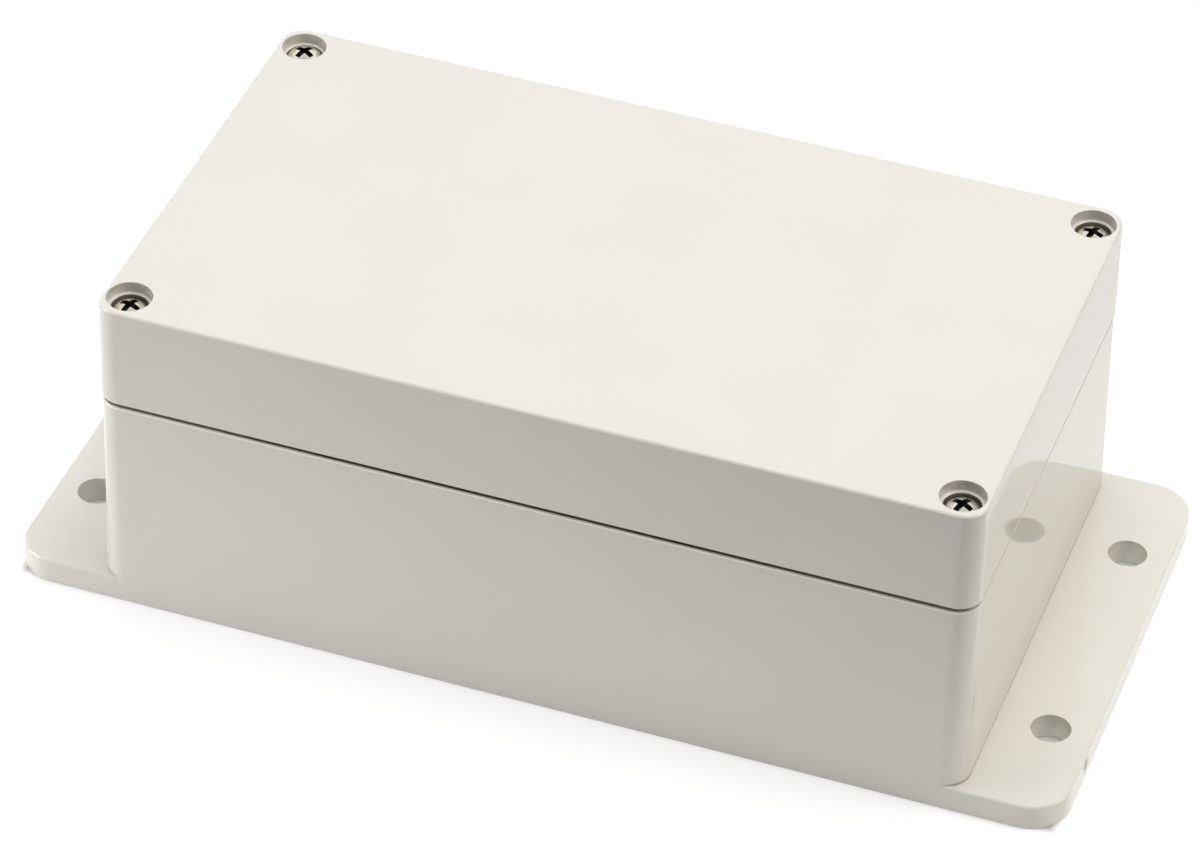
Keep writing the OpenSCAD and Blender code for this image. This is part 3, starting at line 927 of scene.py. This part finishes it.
class JUNCTION_BOX_OT_stage(bpy.types.Operator):
    """Set up the pale floor, the soft lamps, the white surroundings and the camera"""
    bl_idname = "junction_box.stage"
    bl_label = "Stage"

    def execute(self, context):
        scene = context.scene
        scene.view_settings.view_transform = "Standard"
        self.add_floor(scene)
        self.add_world(scene)
        self.add_lamps(scene)
        self.add_camera(scene)
        return {"FINISHED"}

    @staticmethod
    def seen(tree):
        """1 for rays from the camera, a mirror or glass, and 0 for the rays that light the object."""
        path = add_node(tree, "LightPath")
        ray = path["Is Camera Ray"]
        for other in ("Is Glossy Ray", "Is Transmission Ray"):
            ray = add_node(tree, "Math", {0: ray, 1: path[other]}, operation="MAXIMUM")[0]
        return ray

    def card(self, finish):
        """Matt white card on a table: it glows enough to be white to the eye, and keeps a soft shadow."""
        material, tree, place = new_material("matt_white_card")
        far = add_node(tree, "VectorMath", {0: place}, operation="LENGTH")["Value"]
        # the card fades into the table from 0.14 to 0.32 m, so the walls get most light from close by
        off_card = add_node(tree, "MapRange", {"Value": far, "From Min": 0.14, "From Max": 0.32})
        paint = add_node(tree, "Mix", {
            "Factor": off_card[0], 6: rgba(finish.floor), 7: rgba(finish.table)}, data_type="RGBA")
        lit = add_node(tree, "BsdfDiffuse", {"Color": paint[2]})
        shown = add_node(tree, "BsdfDiffuse", {"Color": (0.5, 0.5, 0.5, 1)})
        # its glow drops under the box, a painted shadow where the fixing holes show it, and it is white far
        # off
        inside = (BASE_HIGH.x - 2.1 * MM, BASE_HIGH.y - 2 * MM, 0)
        under = add_node(tree, "MapRange", {
            "Value": from_corner(tree, place, inside, clip=True),
            "From Min": 0.0, "From Max": 1.5 * MM, "To Min": 0.12, "To Max": 0.54})
        white_off = add_node(tree, "MapRange", {
            "Value": far, "From Min": 0.4, "From Max": 1.2, "To Min": 0.0, "To Max": 0.46})
        strength = add_node(tree, "Math", {0: under[0], 1: white_off[0]}, operation="ADD")
        glow = add_node(tree, "Emission", {"Color": WHITE, "Strength": strength[0]})
        white = add_node(tree, "AddShader", {0: shown[0], 1: glow[0]})
        mixed = add_node(tree, "MixShader", {0: self.seen(tree), 1: lit[0], 2: white[0]})
        add_node(tree, "OutputMaterial", {"Surface": mixed[0]})
        return material

    def add_floor(self, scene):
        bm = bmesh.new()
        bmesh.ops.create_grid(bm, x_segments=1, y_segments=1, size=3.0)
        bmesh.ops.translate(bm, vec=(0, 0, -0.1 * MM), verts=bm.verts)
        floor = placed("floor", bm)
        floor.data.materials.append(self.card(scene.junction_box_finish))

    def add_world(self, scene):
        world = bpy.data.worlds.new("white_studio")
        world.use_nodes = True
        tree = world.node_tree
        tree.nodes.clear()
        fill = add_node(tree, "Background", {"Color": WHITE, "Strength": AMBIENT})
        # bright metal shows a dim ceiling above white walls
        way = add_node(tree, "TexCoord")["Generated"]
        ceiling = add_node(tree, "MapRange", {
            "Value": add_node(tree, "SeparateXYZ", {0: way})["Z"],
            "From Min": 0.75, "From Max": 0.95, "To Min": 1.0, "To Max": 0.45})
        white = add_node(tree, "Background", {"Color": WHITE, "Strength": ceiling[0]})
        mixed = add_node(tree, "MixShader", {0: self.seen(tree), 1: fill[0], 2: white[0]})
        add_node(tree, "OutputWorld", {"Surface": mixed[0]})
        scene.world = world

    def add_lamps(self, scene):
        for name, (place, aim, side, power, tint) in LAMPS.items():
            data = bpy.data.lights.new(name, "AREA")
            data.shape, data.size = "SQUARE", side
            data.energy, data.color = power, linear(tint)
            lamp = bpy.data.objects.new(name, data)
            lamp.visible_glossy = place[2] < MIRRORED_BELOW
            lamp.location = place
            lamp.rotation_euler = (Vector(aim) - Vector(place)).to_track_quat("-Z", "Y").to_euler()
            scene.collection.objects.link(lamp)

    def add_camera(self, scene):
        look = CAMERA
        back = Vector((math.sin(look.azimuth) * math.cos(look.elevation),
                       -math.cos(look.azimuth) * math.cos(look.elevation), math.sin(look.elevation)))
        level = Vector((math.cos(look.azimuth), math.sin(look.azimuth), 0))
        rise = back.cross(level)
        right = math.cos(look.roll) * level + math.sin(look.roll) * rise
        up = math.cos(look.roll) * rise - math.sin(look.roll) * level
        eye = look.target + look.distance * back - look.right * right - look.up * up
        data = bpy.data.cameras.new("camera")
        data.sensor_fit, data.sensor_width = "AUTO", 36.0
        data.lens = look.focal / look.width * data.sensor_width
        data.clip_start, data.clip_end = 0.01, 50.0
        camera = bpy.data.objects.new("camera", data)
        camera.matrix_world = Matrix.Translation(eye) @ Matrix((right, up, back)).transposed().to_4x4()
        scene.collection.objects.link(camera)
        scene.camera = camera


# add-on

class JUNCTION_BOX_PT_panel(bpy.types.Panel):
    """Lists the pieces and their settings"""
    bl_idname = "JUNCTION_BOX_PT_panel"
    bl_label = "Junction Box"
    bl_space_type = "VIEW_3D"
    bl_region_type = "UI"
    bl_category = "Junction Box"

    def draw(self, context):
        layout = self.layout
        for operator in OPERATORS:
            layout.operator(operator.bl_idname)
        for key, group in SETTINGS.items():
            column = layout.box()
            for name in group.__annotations__:
                column.prop(getattr(context.scene, key), name)


OPERATORS = (JUNCTION_BOX_OT_base, JUNCTION_BOX_OT_inserts, JUNCTION_BOX_OT_lid, JUNCTION_BOX_OT_seal,
             JUNCTION_BOX_OT_screws, JUNCTION_BOX_OT_stage)
CLASSES = (*SETTINGS.values(), *OPERATORS, JUNCTION_BOX_PT_panel)


def register():
    for cls in CLASSES:
        bpy.utils.register_class(cls)
    for key, group in SETTINGS.items():
        setattr(bpy.types.Scene, key, PointerProperty(type=group))


def unregister():
    for key in SETTINGS:
        delattr(bpy.types.Scene, key)
    for cls in reversed(CLASSES):
        bpy.utils.unregister_class(cls)


def main():
    register()
    bpy.ops.junction_box.base()
    bpy.ops.junction_box.inserts()
    bpy.ops.junction_box.lid()
    bpy.ops.junction_box.seal()
    bpy.ops.junction_box.screws()
    bpy.ops.junction_box.stage()


if __name__ == "__main__":
    main()
